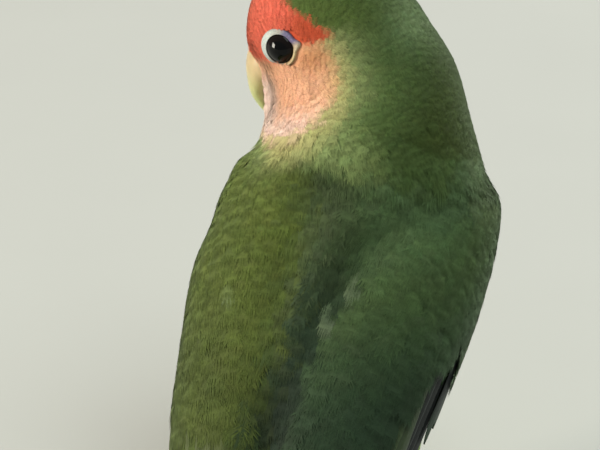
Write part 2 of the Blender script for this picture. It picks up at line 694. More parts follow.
def lie(points, normals, nodes):
    """The way the feathers lie at places on the body, along the surface."""
    ahead, right, up = head_frame(points)
    from_eyes = np.sqrt(ahead**2 + right**2 + up**2)
    z = points[:, 2:3] / MM
    back = unit(-HEAD_AHEAD - 0.35 * HEAD_UP)
    out = np.stack([ahead - BILL_SOURCE[0], 0.4 * right, up - BILL_SOURCE[1]], axis=1)
    close = ease(24.0, 12.0, np.linalg.norm(out, axis=1))[:, None]
    spread = unit(out) @ np.stack([HEAD_AHEAD, HEAD_RIGHT, HEAD_UP])
    back = unit(close * spread + (1 - close) * back)
    to_tail = unit(TAIL_POINT - points)
    on_head = ease(26.0, 14.0, from_eyes)[:, None]
    on_trunk = ease(84.0, 70.0, z)
    way = unit(on_trunk * to_tail + (1 - on_trunk) * DOWN_NECK)
    way = unit(on_head * back + (1 - on_head) * way)
    on_thigh = np.isin(nodes, (PLUMED.index("thigh_left"), PLUMED.index("thigh_right")))
    way[on_thigh] = DOWN_THIGH
    flat = way - (way * normals).sum(axis=1, keepdims=True) * normals
    return unit(flat)


# Markings


def collar_height(points):
    """Millimetres above the lower edge of the neck's loose feathers."""
    x, y, z = (np.asarray(points) / MM).T
    return z - (88.8 - 0.155 * x - 0.323 * y)


# Both ends of the places along the spine, which run on past its first and last section
SPINE_REACH = (-1.4, 8.6)


def spine_place(points):
    """Place along the spine, and angle round it in degrees from the middle of the back."""
    t = np.linspace(*SPINE_REACH, 240)
    centre, right, ahead, _ = sections(SPINE, t)
    pick = np.empty(len(points), int)
    for start in range(0, len(points), 4096):
        part = points[start:start + 4096]
        pick[start:start + 4096] = ((part[:, None] - centre) ** 2).sum(axis=2).argmin(axis=1)
    away = points - centre[pick]
    angle = np.arctan2((away * right[pick]).sum(axis=1), -(away * ahead[pick]).sum(axis=1))
    return t[pick], np.degrees(angle)


def markings(points, near, rng):
    """The plumage colours at places on the body. near numbers the envelope's nearest points."""
    tone = colours()
    ahead, right, up = head_frame(points)
    x, y, z = (points / MM).T
    ragged = rng.normal(0.0, 0.4, len(points))
    share = dict(zip(PLUMED + BARE, envelope().shares[near].T))
    wing = share["wing_left"] + share["wing_right"]
    thigh = share["thigh_left"] + share["thigh_right"]
    _, angle = spine_place(points)
    angle = np.abs(angle) + ragged * 6.0

    def layer(base, part, top):
        """A colour with some part of another on top."""
        part = np.clip(part, 0.0, 1.0)[:, None]
        return base * (1 - part) + top * part

    # Green back and wings, yellower on the left side and cooler on the right shoulder
    colour = layer(np.tile(tone["mantle"], (len(points), 1)), ease(74.0, 48.0, z), tone["back"])
    wing_tone = layer(np.tile(tone["wing"], (len(points), 1)), ease(70.0, 40.0, z), tone["quill"])
    colour = layer(colour, ease(0.25, 0.75, wing), wing_tone)
    above = collar_height(points)
    sunny = ease(1.5, -8.5, x + ragged * 3.0)
    sunny_tone = tone["shoulder"] * (1 - 0.30 * ease(74.0, 40.0, z))[:, None]
    colour = layer(colour, sunny * ease(0.0, -3.0, above), sunny_tone)
    colour = colour * (1 - 0.42 * ease(60.0, 42.0, z) * ease(-10.0, -1.0, x) * ease(40.0, 20.0, y))[:, None]
    cool = ease(3.0, 12.0, x) * ease(29.0, 22.0, x) * ease(60.0, 70.0, z)
    colour = layer(colour, cool * 0.7, tone["cool"])
    # Light green front and underside
    left_shoulder = ease(-14.0, -20.0, x) * ease(68.0, 75.0, z)
    front = ease(88.0, 122.0, angle - 20.0 * left_shoulder)
    colour = layer(colour, front * ease(0.0, 6.0, 96.0 - z), tone["breast"])
    # Nape, with a pale fringe over the back and a pale bend of the wing, and thighs
    bend = ease(20.0, 24.0, x) * ease(8.0, 5.0, above + ragged) * ease(-9.0, -3.0, above + ragged)
    edge = ease(0.0, 4.0, y - np.interp(z, (60, 80), (17, 30)))
    colour = layer(colour, ease(-4.0, 2.0, above + ragged) * (1 - bend), tone["nape"])
    colour = layer(colour, bend * edge * 0.3, tone["bend"])
    shaded_side = ease(8.0, 20.0, x) * ease(4.0, 9.0, above)
    colour = colour * (1 - np.array((0.30, 0.38, 0.62)) * shaded_side[:, None])
    fringe = ease(-2.5, 0.5, above + ragged) * ease(12.0, 3.0, above) * ease(-19.0, -10.0, ahead)
    colour = layer(colour, fringe * 0.50, tone["collar"])
    colour = layer(colour, thigh * 1.4, tone["breast"])
    # Crown, with a light patch
    from_eyes = np.sqrt(ahead**2 + right**2 + up**2)
    on_head = ease(30.0, 24.0, from_eyes)
    colour = layer(colour, on_head * ease(-6.0, 2.0, up + ragged) * (1 - shaded_side * 0.6), tone["crown"])
    top_light = np.exp(-(np.linalg.norm(points / MM - (9.0, 37.5, 105.0), axis=1) / 5.0) ** 2)
    colour = layer(colour, top_light * 0.75, tone["crown_light"])
    # Peach mask with green beside it: cheeks, chin and throat, down to a line from nape to throat
    reach = np.sqrt(((ahead - 0.6) / 11.0) ** 2 + ((up + 6.5) / 11.0) ** 2) + ragged * 0.03
    low = up - np.interp(ahead, (-12.0, -6.6, -0.8, 4.0, 12.0), (-10.2, -12.0, -14.6, -15.6, -16.2))
    bib = ease(-9.0, -2.0, ahead + (up + 16.0) * 0.2 + ragged) * ease(2.0, -4.0, up)
    near_head = ease(36.0, 29.0, from_eyes)
    face = np.maximum(ease(1.08, 0.84, reach), bib) * ease(-1.8, 1.2, low + ragged) * near_head
    beside = near_head * ease(2.5, -2.5, up + ragged) * ease(-8.0, -1.0, low) * ease(-26.0, -12.0, ahead)
    colour = layer(colour, beside * ease(1.95, 1.15, reach) * 0.8, tone["neck_side"])
    colour = layer(colour, beside * ease(1.36, 1.06, reach) * 0.75, tone["cheek_side"])
    colour = layer(colour, face, tone["cheek"])
    pale = np.maximum(ease(-10.0, -16.0, up + ragged), ease(2.5, 8.0, ahead) * ease(-3.0, -9.0, up))
    colour = layer(colour, face * pale, tone["throat"])
    rear = ease(0.62, 1.0, reach) * ease(-1.0, -7.0, ahead) * ease(-13.0, -9.0, up)
    colour = layer(colour, rear * 0.55 * face, tone["cheek_rear"])
    ear = np.exp(-((ahead + 6.0) / 4.4) ** 2 - ((up + 3.4) / 3.0) ** 2)
    colour = layer(colour, ear * 0.75 * face, tone["ear"])
    lore = np.exp(-((ahead - 4.2) / 1.5) ** 2 - ((up + 3.4) / 1.5) ** 2)
    spot = np.exp(-((ahead + 4.7) / 0.9) ** 2 - ((up + 8.9) / 1.3) ** 2)
    colour = layer(colour, (lore * 0.6 + spot * 0.45) * face, tone["lore"])
    # Coral forehead, which runs back to a point behind each eye
    slope = 1.02 * ahead + 10.8 - up + ragged * 0.6
    lower = up - np.where(ahead > 0, -2.4, -0.2) + ragged * 0.25
    cap = ease(-1.0, 1.0, slope) * ease(-1.0, 0.7, lower) * on_head
    colour = layer(colour, cap, tone["forehead"])
    colour = layer(colour, cap * ease(1.0, -6.0, ahead) * ease(8.0, 3.0, up), tone["brow"])
    colour = layer(colour, pale_streaks(points) * 0.32, tone["worn"])
    colour = colour * patches(points)[:, None]
    # Blue rump above a green tail
    rump = ease(36.0, 27.0, z) * ease(8.0, -4.0, y) * (1 - np.clip(wing + thigh, 0, 1))
    above_tail = ease(-2.0, 3.0, z - np.interp(y, (-61, -20), (2, 14)))
    colour = layer(colour, rump * above_tail, tone["rump"])
    return layer(colour, share["tail"] * 0.6, tone["tail"])


# Worn pale feathers: both ends of each streak in millimetres
PALE_STREAKS = (
    ((3.9, 7.2, 60.2), (4.5, 2.6, 55.6)),
    ((7.8, 9.6, 62.9), (8.2, 7.4, 60.4)),
    ((-15.0, 6.2, 58.8), (-16.2, 3.2, 55.2)),
)


def pale_streaks(points):
    """How much each place belongs to one of the pale streaks, 0 to 1."""
    best = np.full(len(points), 99.0)
    for start, end in PALE_STREAKS:
        start, end = np.array(start) * MM, np.array(end) * MM
        line = end - start
        part = np.clip((points - start) @ line / (line @ line), 0, 1)
        away = np.linalg.norm(points - start - part[:, None] * line, axis=1) / MM
        best = np.minimum(best, away)
    return ease(1.0, 0.3, best)


# Brightness that each wave of the patches adds or takes away
PATCH_DEPTH = 0.045


def patches(points):
    """Long soft patches of brightness that follow the lie of the back and wings, about 1."""
    t, angle = spine_place(points)
    waves = (np.sin(angle * 0.23 + t * 1.3) + np.sin(angle * 0.41 - t * 2.1 + 1.0)
             + np.sin(angle * 0.71 + t * 1.7 + 2.0) + np.sin(t * 4.4 + angle * 0.05))
    return 1 + PATCH_DEPTH * waves * ease(92.0, 78.0, points[:, 2] / MM)


# Where a piece's feathers sit in its bake map: an unwrap of the body along its own axis


def unwrap(points):
    """Map coordinates from the place along the spine and the angle round it."""
    t, angle = spine_place(points)
    along = (t - SPINE_REACH[0]) / (SPINE_REACH[1] - SPINE_REACH[0])
    return np.stack([0.5 + 0.96 * angle / 360.0, 0.03 + 0.94 * along], axis=1)


# Small feathers


def feather_outline(s):
    """Half width of a contour feather at places s from root to tip, as a share of its widest."""
    rise = np.minimum(1.0, 0.25 + 1.35 * s)
    return rise * np.sqrt(np.maximum(0.0, 1 - (np.maximum(0.0, s - 0.5) / 0.53) ** 2.4))


INNER_VANE = 0.62
VANE_END = 0.68
BARB_LIFT = 0.03 * MM


def feather_template(rng, pairs, steps):
    """A loose feather: a closed vane along the shaft and a fringe of free barbs.

    It gives rows of s and x, the share of tip colour, how far each point stands up, and
    triangles that all face outward. s runs from 0 at the root to 1 at the tip, and x from -1
    to 1 between the margins.
    """
    s = np.linspace(0.0, VANE_END, steps)
    half = feather_outline(s) * INNER_VANE * rng.uniform(0.9, 1.05)
    points = [(place, way * width) for place, width in zip(s, half) for way in (-1.0, 0.0, 1.0)]
    triangles = []
    for row in range(steps - 1):
        for column in (0, 1):
            a = row * 3 + column
            triangles += [(a, a + 1, a + 4), (a, a + 4, a + 3)]
    share = [0.6 * place for place in s for _ in range(3)]
    lift = [0.0] * len(points)

    def barb(low, high, end):
        """Add a free barb from two places on the vane to its end."""
        base = len(points)
        points.extend([low, high, end])
        share.extend([0.5, 0.5, 1.0])
        lift.extend([0.0, 0.0, rng.uniform(-0.4, 1.0)])
        triangles.append((base, base + 1, base + 2))

    side_barbs = pairs // 2
    pitch = VANE_END / side_barbs
    for way in (-1.0, 1.0):
        for k in range(side_barbs):
            low = pitch * (k + rng.uniform(-0.2, 0.2)) + 0.06
            high = low + pitch * rng.uniform(0.7, 1.2)
            end = low + rng.uniform(0.20, 0.30)
            reach = way * float(feather_outline(min(end, 0.99))) * rng.uniform(0.82, 1.10)
            edge = way * INNER_VANE * 0.8
            inner = [(at, edge * float(feather_outline(at))) for at in (low, high)]
            barb(inner[0], inner[1], (end, reach))
    for k in range(pairs):
        across = (k + rng.uniform(0.2, 0.8)) / pairs * 2 - 1
        low = VANE_END - rng.uniform(0.04, 0.16)
        wide = rng.uniform(0.9, 1.4) / pairs * INNER_VANE
        end = 1.0 - 0.20 * across**2 + rng.uniform(-0.10, 0.04)
        middle = across * INNER_VANE * 0.95
        barb((low, middle - wide), (low, middle + wide), (end, across * 0.62 + rng.uniform(-0.08, 0.08)))
    points, triangles = np.array(points), np.array(triangles)
    a, b, c = (points[triangles[:, k]] for k in range(3))
    facing_in = (b[:, 1] - a[:, 1]) * (c[:, 0] - a[:, 0]) < (c[:, 1] - a[:, 1]) * (b[:, 0] - a[:, 0])
    triangles[facing_in] = triangles[facing_in][:, ::-1]
    return points, np.array(share), np.array(lift), triangles


def search_tree(places):
    """A tree that finds the places near a point."""
    tree = KDTree(len(places))
    for index, place in enumerate(places):
        tree.insert(place, index)
    tree.balance()
    return tree


# Roots tried for each square of the spacing, so that few gaps are left
TRIES = 4.5


def scatter(form, spacing, rng):
    """Roots spread over the form, each at least its spacing from the next. Zero spacing is bare."""
    corners = form.points[form.quads]
    area = np.linalg.norm(np.cross(corners[:, 2] - corners[:, 0], corners[:, 3] - corners[:, 1]), axis=1) / 2
    gap = spacing[form.quads].mean(axis=1)
    bare = (spacing[form.quads] <= 0).any(axis=1)
    count = rng.poisson(np.where(bare, 0.0, TRIES * area / np.maximum(gap, 1e-5) ** 2))
    pick = np.repeat(np.arange(len(form.quads)), count)
    rng.shuffle(pick)
    u, v = rng.random((2, len(pick), 1))
    quad = corners[pick]
    places = ((1 - u) * (1 - v) * quad[:, 0] + u * (1 - v) * quad[:, 1]
              + u * v * quad[:, 2] + (1 - u) * v * quad[:, 3])
    tree = search_tree(places)
    alive = np.ones(len(places), bool)
    for index, place in enumerate(places):
        if alive[index]:
            for _, other, _ in tree.find_range(place, gap[pick[index]]):
                if other > index:
                    alive[other] = False
    return places[alive]


# Points along a shaft, and how far in radians the feathers stray from the lie
STATIONS = 5
SWAY = 0.10


def lay_feathers(form, roots, length, depth, rise, rng):
    """Shafts from under the form's surface along its lie: their points, sideways and normals."""
    spot, normal, near = form.nearest(roots)
    turn = rng.normal(0.0, SWAY, len(roots))[:, None]
    shafts, normals, sides = [], [], []
    for k in range(STATIONS):
        s = k / (STATIONS - 1)
        way = lie(spot, normal, form.node[near])
        side = np.cross(way, normal)
        way = np.cos(turn) * way + np.sin(turn) * side
        side = np.cross(way, normal)
        height = -depth * (1 - s) ** 3.4 + rise * s**1.5
        shafts.append(spot + normal * height[:, None])
        normals.append(normal)
        sides.append(side)
        if k < STATIONS - 1:
            spot, normal, near = form.nearest(spot + way * (length / (STATIONS - 1))[:, None])
    return np.stack(shafts, 1), np.stack(sides, 1), np.stack(normals, 1)


# Drop of the margins in half widths, different feather shapes, and a feather's patch in the map
CAMBER = 0.09
TEMPLATES = 10
PATCH = 0.003


def feather_mesh(name, laid, half_width, length, root_colour, tip_colour, rng, pairs, steps, slot):
    """One joined mesh of small feathers from laid shafts."""
    shafts, sides, normals = laid
    count = len(shafts)
    templates = [feather_template(rng, pairs, steps) for _ in range(TEMPLATES)]
    choice = rng.integers(0, len(templates), count)
    spread = rng.normal(1.0, 0.10, count)
    all_points, all_normals, all_colours, all_vanes, all_uv, all_faces = [], [], [], [], [], []
    base = 0
    root_uv = unwrap(shafts[:, 0])
    for number, (points, share, lift, triangles) in enumerate(templates):
        pick = np.flatnonzero(choice == number)
        if not len(pick):
            continue
        s, x = np.clip(points[:, 0], 0, 1.06), points[:, 1]
        place = np.clip(s * (STATIONS - 1), 0, STATIONS - 1.0001)
        k = place.astype(int)
        part = (s * (STATIONS - 1) - k)[None, :, None]

        def along(row):
            """Values at the stations, read at the template's places along the shaft."""
            return row[pick][:, k] * (1 - part) + row[pick][:, k + 1] * part

        out = half_width[pick][:, None, None] * x[None, :, None] * spread[pick][:, None, None]
        normal = unit(along(normals))
        drop = CAMBER * np.abs(x)[None, :, None] ** 1.6 * half_width[pick][:, None, None]
        made = along(shafts) + along(sides) * out + normal * (lift[None, :, None] * BARB_LIFT - drop)
        all_points.append(made.reshape(-1, 3))
        leaned = normal + along(sides) * x[None, :, None] * 0.16
        all_normals.append(leaned.reshape(-1, 3))
        mixer = (share * np.clip(s, 0, 1))[None, :, None] ** 1.2
        tone = root_colour[pick][:, None] * (1 - mixer) + tip_colour[pick][:, None] * mixer
        tone = tone * rng.normal(1.0, 0.11, (len(pick), len(s), 1))
        all_colours.append(np.clip(tone, 0, 1).reshape(-1, 3))
        vane = np.empty((len(pick), len(s), 3))
        vane[..., 0] = out[..., 0] / MM
        vane[..., 1] = s[None] * length[pick][:, None] / MM
        vane[..., 2] = rng.random(len(pick))[:, None]
        all_vanes.append(vane.reshape(-1, 3))
        patch = np.stack([x * PATCH / 2, (s - 0.5) * PATCH], axis=1)
        all_uv.append((root_uv[pick][:, None] + patch[None]).reshape(-1, 2))
        starts = base + np.arange(len(pick)) * len(s)
        all_faces.append((starts[:, None, None] + triangles[None]).reshape(-1, 3))
        base += len(pick) * len(s)
    mesh_object(name, np.vstack(all_points), np.vstack(all_faces),
                [material("loose contour feather", soft_feather)], slot,
                normals=np.vstack(all_normals), uv=np.vstack(all_uv),
                plumage=with_alpha(np.vstack(all_colours)), vane=np.vstack(all_vanes))


# Brightness of a feather's root and of its tip
ROOT_SHADE = 0.86
TIP_SHADE = 1.05


def feather_tones(points, near, rng):
    """Root and tip colours of feathers that lie at points."""
    base = markings(points, near, rng)
    base = base * rng.normal(1.0, 0.04, (len(points), 1)) * rng.normal(1.0, 0.02, (len(points), 3))
    return np.clip(base * ROOT_SHADE, 0, 1), np.clip(base * TIP_SHADE, 0, 1)


# The lids' opening lies a little behind and below the solid eye's middle
EYE_SHIFT = -0.20 * MM * HEAD_AHEAD - 0.30 * MM * HEAD_UP


def eye_distance(points):
    """Millimetres from the axis of the nearer eye, on that eye's side of the head."""
    best = np.full(len(points), 99.0)
    for side, way in SIDES.items():
        away = (points - EYES[side] - EYE_SHIFT) / MM
        axis = HEAD_RIGHT * way
        deep = away @ axis
        ring = np.linalg.norm(away - deep[:, None] * axis, axis=1)
        best = np.where((deep > -1.0) & (ring < best), ring, best)
    return best


def wing_spots(form):
    """Places u and v on its wing of each point of the form, both 9 where it isn't on one."""
    along = np.full(len(form.points), 9.0)
    beside = along.copy()
    for side, way in SIDES.items():
        u, v = (part.ravel() for part in np.meshgrid(np.linspace(0, 1, 50), np.linspace(-1, 1, 13)))
        places = wing_place(way, u, v, 1.0)
        tree = search_tree(places)
        for index in np.flatnonzero(form.node == PLUMED.index("wing_" + side)):
            found = tree.find(form.points[index])[1]
            along[index], beside[index] = u[found], v[found]
    return along, beside


# Where the small coverts end along the wing, at its inner edge and at its outer edge
COVERTS_END = (0.60, 0.33)
# Gap between roots as a share of the feathers' length, on the body and on the face
BODY_GAP = 0.158
FACE_GAP = 0.168
# Greatest depth of a root as a share of the feather's length
DEEPEST = 0.30
# How far the face's feathers reach over the bill's roots, and the bare radius round an eye in millimetres
BILL_OVERLAPS = {"bill_upper": 2.4 * MM, "bill_lower": 3.6 * MM}
EYE_BARE = 3.58


def far_from(points, chosen, others, reach):
    """Which of the chosen points lie further than a reach from all the others."""
    tree = search_tree(points[others])
    away = np.zeros(len(points), bool)
    for index in np.flatnonzero(chosen):
        away[index] = tree.find(points[index])[2] > reach
    return away


@functools.cache
def coat():
    """Roots, lengths, depths, nodes and nearest points of all small feathers."""
    form = envelope()
    settings = bpy.context.scene.lovebird_coat
    rng = np.random.default_rng(settings.seed)
    ahead, right, up = head_frame(form.points)
    from_eyes = np.sqrt(ahead**2 + right**2 + up**2)
    node = np.array(PLUMED + BARE)[form.node]
    length = np.full(len(form.points), settings.body_length)
    length[node == "neck"] = settings.neck_length
    head = node == "head"
    from_bill = np.sqrt((ahead - 9.0) ** 2 + right**2 * 0.6 + (up + 7.0) ** 2)
    grown = np.minimum(ease(6.0, 26.0, from_bill), ease(3.0, 12.0, eye_distance(form.points)))
    head |= np.char.startswith(node, "eye")
    face = head | np.char.startswith(node, "bill")
    length[face] = (settings.face_length + (settings.nape_length - settings.face_length) * grown)[face]
    thigh = np.char.startswith(node, "thigh")
    length[thigh] = settings.neck_length * 0.8
    wing = np.char.startswith(node, "wing")
    along, beside = wing_spots(form)
    left = form.points[:, 0] < 0
    outer = np.where(left, ease(0.35, 0.85, beside), ease(-0.30, 0.25, beside))
    end = COVERTS_END[0] + (COVERTS_END[1] - COVERTS_END[0]) * outer
    end = end + 0.022 * np.sin(beside * 13.0) + 0.012 * np.sin(beside * 31.0 + 1.0)
    length[wing] = (settings.wing_length * (0.75 + 1.2 * np.minimum(along, 0.5)))[wing]
    length = relaxed(length[:, None], form.quads, 8, 0.6)[:, 0]
    spacing = length * BODY_GAP
    spacing[face] = length[face] * FACE_GAP
    bare = np.zeros(len(form.points), bool)
    for bill, reach in BILL_OVERLAPS.items():
        bare |= far_from(form.points, node == bill, head, reach)
    corner = (np.abs(up) < 0.9) & (ahead < 0) & (ahead > -4.3) & (from_eyes < 16)
    bare |= (eye_distance(form.points) < EYE_BARE) & (from_eyes < 16) | corner
    # The large feathers cover the rear of the wings and tail, and the wings the rump beside them
    bare |= wing & (along > end) & (along < 5)
    bare |= (node == "tail") & (form.points[:, 1] < -31 * MM)
    share = form.shares[:, PLUMED.index("wing_left")] + form.shares[:, PLUMED.index("wing_right")]
    bare |= (node == "trunk") & (share > 0.3) & (form.points[:, 1] < -4 * MM) & (form.points[:, 2] > 12 * MM)
    spacing[bare] = 0.0
    roots = scatter(form, spacing, rng)
    _, _, near = form.nearest(roots)
    depth = np.where(face, settings.head_depth, settings.body_depth)
    depth = np.where(node == "neck", settings.neck_depth, depth)
    depth = np.minimum(depth, length * DEEPEST)
    depth = relaxed(depth[:, None], form.quads, 12, 0.6)[:, 0]
    return roots, length[near], depth[near], form.node[near], near


def lay_coat(name, chosen, pairs, steps, slot, wide=0.40, rise=0.12 * MM, ruff=0.0):
    """Feathers at the chosen roots as one piece."""
    roots, length, depth, _, near = coat()
    form = envelope()
    settings = bpy.context.scene.lovebird_coat
    rng = np.random.default_rng([settings.seed, len(name), int(chosen.sum())])
    length = length[chosen] * rng.normal(1.0, 0.10, chosen.sum())
    up = np.abs(rng.normal(0.0, 1.0, chosen.sum())) * rise + rise * 0.5
    if ruff:
        above = collar_height(roots[chosen])
        rear = ease(50.0, 36.0, roots[chosen][:, 1] / MM) * ease(-17.0, -9.0, roots[chosen][:, 0] / MM)
        edge = ease(-1.0, 2.0, above) * ease(11.0, 5.0, above) * rear
        up = up + ruff * edge * rng.uniform(0.5, 1.2, chosen.sum())
        length = length * (1 + 0.25 * edge)
    width = length * wide * 0.5
    laid = lay_feathers(form, roots[chosen], length, depth[chosen], up, rng)
    dark, light = feather_tones(laid[0][:, -2], near[chosen], rng)
    feather_mesh(name, laid, width, length, dark, light, rng, pairs, steps, slot)


# Wings and tail


def wing_place(way, u, v, layer, swing=0.0):
    """Places on a folded wing. u runs from bend to tip, v from the inner edge, -1, to the outer, 1.

    layer runs from 0 under the wing to 1 on top of it, and swing turns a place about the body.
    """
    t = WING_BENDS[way] * (1 - u)
    inner = np.interp(t, range(len(WING_INNER)), WING_INNER)
    outer = np.interp(t, range(len(WING_OUTER)), WING_OUTER)
    front = np.sqrt(1 - (1 - np.minimum(u / 0.11, 1.0)) ** 2)
    tip = np.sqrt(1 - np.clip((u - 0.62) / 0.40, 0.0, 1.0) ** 2)
    shape = np.maximum(0.10, front * tip)
    middle = (inner + outer) / 2 + 8.0 * (1 - front)
    middle = middle + (inner + 6.0 - middle) * (1 - tip) * 0.8
    half = (outer - inner) / 2 * shape
    centre, right, ahead, sizes = sections(WING_LINE, t)
    angle = way * (np.radians(middle + half * v) + swing)
    beside = np.clip(v + swing / np.radians(half), -1.0, 1.0)
    thick = WING_EDGE + (WING_THICKNESS - WING_EDGE) * (1 - beside**4) * (0.35 + 0.65 * shape)
    lift = WING_CLEAR + thick * layer
    deep = np.where(np.cos(angle) > 0, sizes[:, 2], sizes[:, 1])
    return (centre + (np.sin(angle) * (sizes[:, 0] + lift))[:, None] * right
            - (np.cos(angle) * (deep + lift))[:, None] * ahead)


VANE_ROWS = 26
VANE_COLUMNS = 9
HALF_THICKNESS = 0.07 * MM
NARROWEST = 0.05 * MM


def vane_outline(rng, blunt, outer, inner):
    """Half widths of both webs along a flight feather, with a few splits between its barbs."""
    s = np.linspace(0, 1, VANE_ROWS)
    rise = np.minimum(1.0, (s / 0.22) ** 0.6 + 0.12)
    fall = np.sqrt(np.maximum(0.0, 1 - np.maximum(0, (s - blunt) / (1.0 - blunt)) ** 2.2))
    webs = np.stack([rise * fall * inner, rise * fall * outer])
    for row in rng.integers(8, VANE_ROWS - 3, 3):
        webs[rng.integers(0, 2), row] *= rng.uniform(0.78, 0.92)
    return s, np.maximum(webs, NARROWEST)


def vane_solid(top, bottom):
    """Points and faces of a thin closed vane between two grids."""
    rows, columns = top.shape[:2]
    points = np.vstack([top.reshape(-1, 3), bottom.reshape(-1, 3)])
    upper = grid_faces(rows, columns)
    lower = upper[:, ::-1] + rows * columns
    loop = np.concatenate([np.arange(columns), np.arange(1, rows) * columns + columns - 1,
                           (rows - 1) * columns + np.arange(columns - 2, -1, -1),
                           np.arange(rows - 2, 0, -1) * columns])
    after = np.roll(loop, -1)
    sides = np.stack([after, loop, loop + rows * columns, after + rows * columns], axis=1)
    return points, np.vstack([upper, lower, sides])


def join_vanes(name, vanes, surface, slot):
    """Many vanes as one piece. Each is points, faces, colours and vane coordinates."""
    base = 0
    points, faces, tones, spots, uv = [], [], [], [], []
    for number, (vane_points, vane_faces, tone, spot) in enumerate(vanes):
        points.append(vane_points)
        faces.append(vane_faces + base)
        base += len(vane_points)
        tones.append(tone)
        spots.append(spot)
        across = (number + 0.5 + 0.42 * np.clip(spot[:, 0] / 7.0, -1, 1)) / len(vanes)
        uv.append(np.stack([across, 0.02 + 0.96 * spot[:, 1] / max(spot[:, 1].max(), 1e-6)], axis=1))
    spots = np.vstack(spots)
    plumage = with_alpha(np.clip(np.vstack(tones), 0, 1))
    return mesh_object(name, np.vstack(points), np.vstack(faces), [material("flight feather", surface)],
                       slot, uv=np.vstack(uv), plumage=plumage, vane=spots)


# Layer from which the vanes are laid down onto the coat's form
ABOVE_WING = 1.4
# Places along a wing, and millimetres from the body's axis to the wing there
ROUND_BODY = ((0.0, 0.35, 0.6, 0.8, 1.0), (21.0, 25.0, 22.0, 14.0, 7.5))


def wing_vane(way, root, tip, widths, heights, blunt, tones, rng, bow=0.0):
    """One flight feather of a wing between two places (u, v), at heights over the coat's form.

    bow bends it sideways in v, and blunt is the place along it at which its tip begins.
    """
    s, webs = vane_outline(rng, blunt, *widths)
    x = np.linspace(-1, 1, VANE_COLUMNS)
    side = np.where(x < 0, webs[0][:, None] * x, webs[1][:, None] * x)
    u = root[0] + (tip[0] - root[0]) * s
    v = root[1] + (tip[1] - root[1]) * s + bow * np.sin(math.pi * s)
    radius = np.interp(u, *ROUND_BODY) * MM
    height = (heights[0] + (heights[1] - heights[0]) * ease(0.0, 1.0, s)) * MM
    flat = [np.repeat(row, VANE_COLUMNS) for row in (u, v, height, radius)]
    camber = 0.05 * side.ravel() ** 2 / MM
    ridge = 0.16 * MM * np.exp(-(side.ravel() / (0.5 * MM)) ** 2)
    above = wing_place(way, np.clip(flat[0], 0, 1), flat[1], ABOVE_WING, side.ravel() / flat[3])
    spot, normal, _ = envelope().nearest(above)
    grids = []
    for sign in (1, -1):
        thick = sign * HALF_THICKNESS * (1 - np.tile(np.abs(x) ** 2, VANE_ROWS) * 0.8)
        places = spot + normal * (flat[2] + thick - camber + (ridge if sign > 0 else 0.0))[:, None]
        grids.append(places.reshape(VANE_ROWS, VANE_COLUMNS, 3))
    points, faces = vane_solid(*grids)
    if way > 0:
        faces = faces[:, ::-1]
    along = np.repeat(s, VANE_COLUMNS)
    tone = vane_tone(along, side.ravel() / MM, tones, rng)
    reach = np.linalg.norm(grids[0][-1, VANE_COLUMNS // 2] - grids[0][0, VANE_COLUMNS // 2]) / MM
    spot = np.stack([side.ravel() / MM, along * reach, np.full(len(along), rng.random())], axis=1)
    return points, faces, np.vstack([tone, tone]), np.vstack([spot, spot])


def vane_tone(along, side, tones, rng):
    """Colours over a vane: inner web, outer web, margin and tip."""
    inner, outer, margin = tones
    part = ease(-0.3, 0.5, side)[:, None]
    tone = inner * (1 - part) + outer * part
    edge = ease(0.72, 1.0, along)[:, None] * 0.5
    tone = tone * (1 - edge) + margin * edge
    shaft = np.exp(-(side / 0.28) ** 2)[:, None] * 0.35
    tone = tone * (1 - shaft) + margin * 0.8 * shaft
    return tone * rng.normal(1.0, 0.07)


# Feathers that show in each row of a folded wing
PRIMARIES = 8
SECONDARIES = 9
GREATER_COVERTS = 10
PRIMARY_COVERTS = 5


